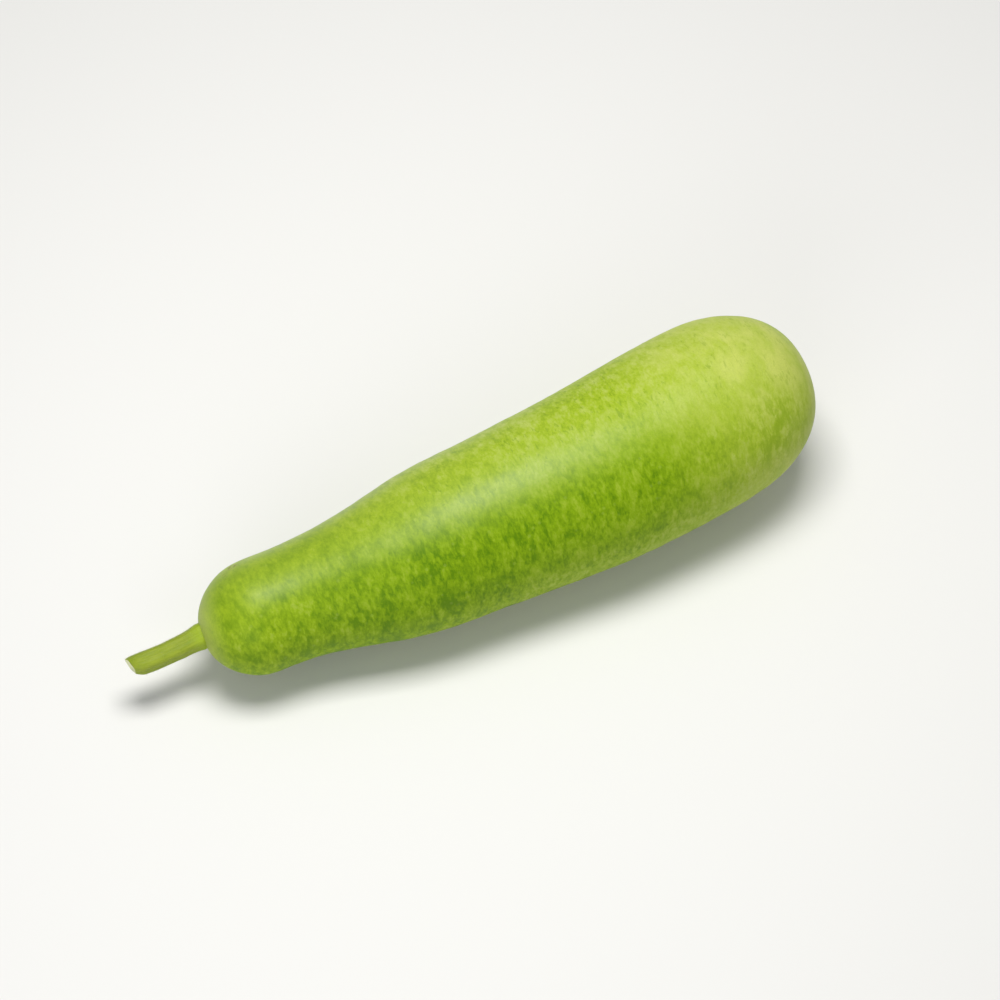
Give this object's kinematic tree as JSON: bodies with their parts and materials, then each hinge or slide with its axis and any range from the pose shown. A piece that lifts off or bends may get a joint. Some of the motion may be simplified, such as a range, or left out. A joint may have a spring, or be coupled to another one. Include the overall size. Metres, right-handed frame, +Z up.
{
  "type": "bottle gourd",
  "caption": "Long club-shaped green gourd, whole and freshly picked, with a short cut stem, lying on its side on a small flat spot.",
  "frame": {"origin": "on the surface that the gourd lies on, under the middle of its box", "axes": "+Z up; +X along the fruit from the stem to the blossom end; +Y to the left of that"},
  "size_m": [0.3506, 0.0928, 0.089],
  "materials": {
    "skin": "satin",
    "stem_green": "ribbed and fibrous, with a pale cut end"
  },
  "bodies": {
    "root": {"fruit": "skin", "stem": "stem_green"}
  },
  "joints": []
}
